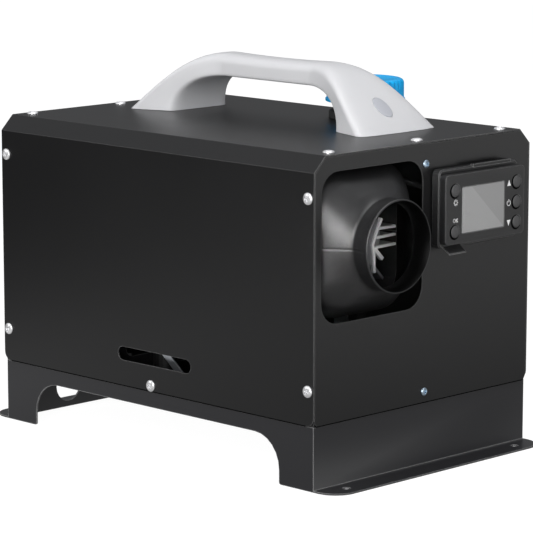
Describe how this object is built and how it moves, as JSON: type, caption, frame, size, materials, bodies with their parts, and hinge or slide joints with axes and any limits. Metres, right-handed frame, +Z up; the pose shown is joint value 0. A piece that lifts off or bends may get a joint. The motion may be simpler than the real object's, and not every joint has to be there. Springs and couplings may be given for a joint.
{
  "type": "diesel air heater",
  "caption": "Portable diesel air heater: sheet metal case on a stand, carrying handle, warm-air nozzle, control panel and fuel tank with a screw cap.",
  "frame": {"origin": "on the ground under the middle of the whole heater's box", "axes": "+X out of the warm-air nozzle, +Z up, +Y to the side with the control panel and the fuel tank"},
  "size_m": [0.4384, 0.265, 0.3285],
  "materials": {
    "black_paint": "semi-gloss powder coat",
    "grey_paint": "semi-gloss powder coat",
    "handle_plastic": "satin moulded",
    "plug_plastic": "matt moulded",
    "black_plastic": "fine moulded grain",
    "hood_plastic": "satin moulded",
    "key_rubber": "matt",
    "rubber": "matt",
    "display_glass": "gloss",
    "display_grey": "matt",
    "board_green": "satin",
    "tank_plastic": "translucent, blow moulded",
    "blue_plastic": "satin moulded",
    "clear_plastic": "clear",
    "hose_green": "smooth",
    "cast_aluminium": "as cast",
    "zinc": "bright zinc plate",
    "stainless": "brushed",
    "fan_plastic": "satin moulded"
  },
  "bodies": {
    "root": {"top_cover": "black_paint", "front_panel": "black_paint", "rear_panel": "black_paint", "floor_pan": "black_paint", "base_frame": "grey_paint", "power_gland": "rubber", "handle": "handle_plastic", "handle_plug_front": "plug_plastic", "handle_bolt_front": "zinc", "handle_nut_front": "zinc", "handle_plug_rear": "plug_plastic", "handle_bolt_rear": "zinc", "handle_nut_rear": "zinc", "controller_holder": "black_plastic", "controller_case": "black_plastic", "controller_bezel": "black_plastic", "display_window": "display_glass", "display_module": "display_grey", "controller_board": "board_green", "fuel_tank": "tank_plastic", "tank_collar": "rubber", "tank_strap_1": "zinc", "tank_strap_2": "zinc", "tank_outlet": "black_plastic", "outlet_line": "hose_green", "fuel_filter": "clear_plastic", "pump_line": "hose_green", "fuel_pump": "zinc", "pump_mount": "rubber", "delivery_line": "hose_green", "jacket_upper": "black_plastic", "jacket_lower": "black_plastic", "inlet_cover": "black_plastic", "outlet_hood": "hood_plastic", "heat_exchanger": "cast_aluminium", "burner_tube": "stainless", "glow_plug": "zinc", "burner_plate": "cast_aluminium", "combustion_housing": "cast_aluminium", "blower_motor": "zinc", "control_unit": "black_plastic", "overheat_sensor": "black_plastic", "mounting_gasket": "rubber", "heater_bench": "grey_paint", "bench_brace": "zinc", "exhaust_pipe": "stainless", "air_intake_pipe": "black_plastic", "controller_lead": "rubber"},
    "up_key": {"button_up": "key_rubber"},
    "power_key": {"button_power": "key_rubber"},
    "down_key": {"button_down": "key_rubber"},
    "settings_key": {"button_settings": "key_rubber"},
    "ok_key": {"button_ok": "key_rubber"},
    "cap_off": {"cap_seal": "rubber"},
    "cap_thread": {"cap_vent": "black_plastic"},
    "cap": {"fuel_cap": "blue_plastic"},
    "rotor": {"motor_shaft": "stainless", "air_wheel": "fan_plastic", "combustion_impeller": "fan_plastic"}
  },
  "joints": [
    {"name": "up_press", "type": "slide", "parent": "root", "child": "up_key", "axis": [-1, 0, 0], "range_m": [0, 0.001], "stiffness_N_per_m": 800},
    {"name": "power_press", "type": "slide", "parent": "root", "child": "power_key", "axis": [-1, 0, 0], "range_m": [0, 0.001], "stiffness_N_per_m": 800},
    {"name": "down_press", "type": "slide", "parent": "root", "child": "down_key", "axis": [-1, 0, 0], "range_m": [0, 0.001], "stiffness_N_per_m": 800},
    {"name": "settings_press", "type": "slide", "parent": "root", "child": "settings_key", "axis": [-1, 0, 0], "range_m": [0, 0.001], "stiffness_N_per_m": 800},
    {"name": "ok_press", "type": "slide", "parent": "root", "child": "ok_key", "axis": [-1, 0, 0], "range_m": [0, 0.001], "stiffness_N_per_m": 800},
    {"name": "cap_removal", "type": "slide", "parent": "root", "child": "cap_off", "axis": [0, 0, 1], "range_m": [0, 0.045]},
    {"name": "cap_lift", "type": "slide", "parent": "cap_off", "child": "cap_thread", "axis": [0, 0, 1], "range_m": [0, 0.0061]},
    {"name": "cap_turn", "type": "hinge", "parent": "cap_thread", "child": "cap", "pos_m": [0.04225, 0.084, 0.299], "axis": [0, 0, 1], "range_deg": [0, 540]},
    {"name": "rotor_spin", "type": "hinge", "parent": "root", "child": "rotor", "pos_m": [-0.09275, -0.0637, 0.1975], "axis": [1, 0, 0], "continuous": true}
  ],
  "couplings": [
    {"joint": "cap_lift", "follows": "cap_turn", "m_per_rad": 0.00063662}
  ]
}
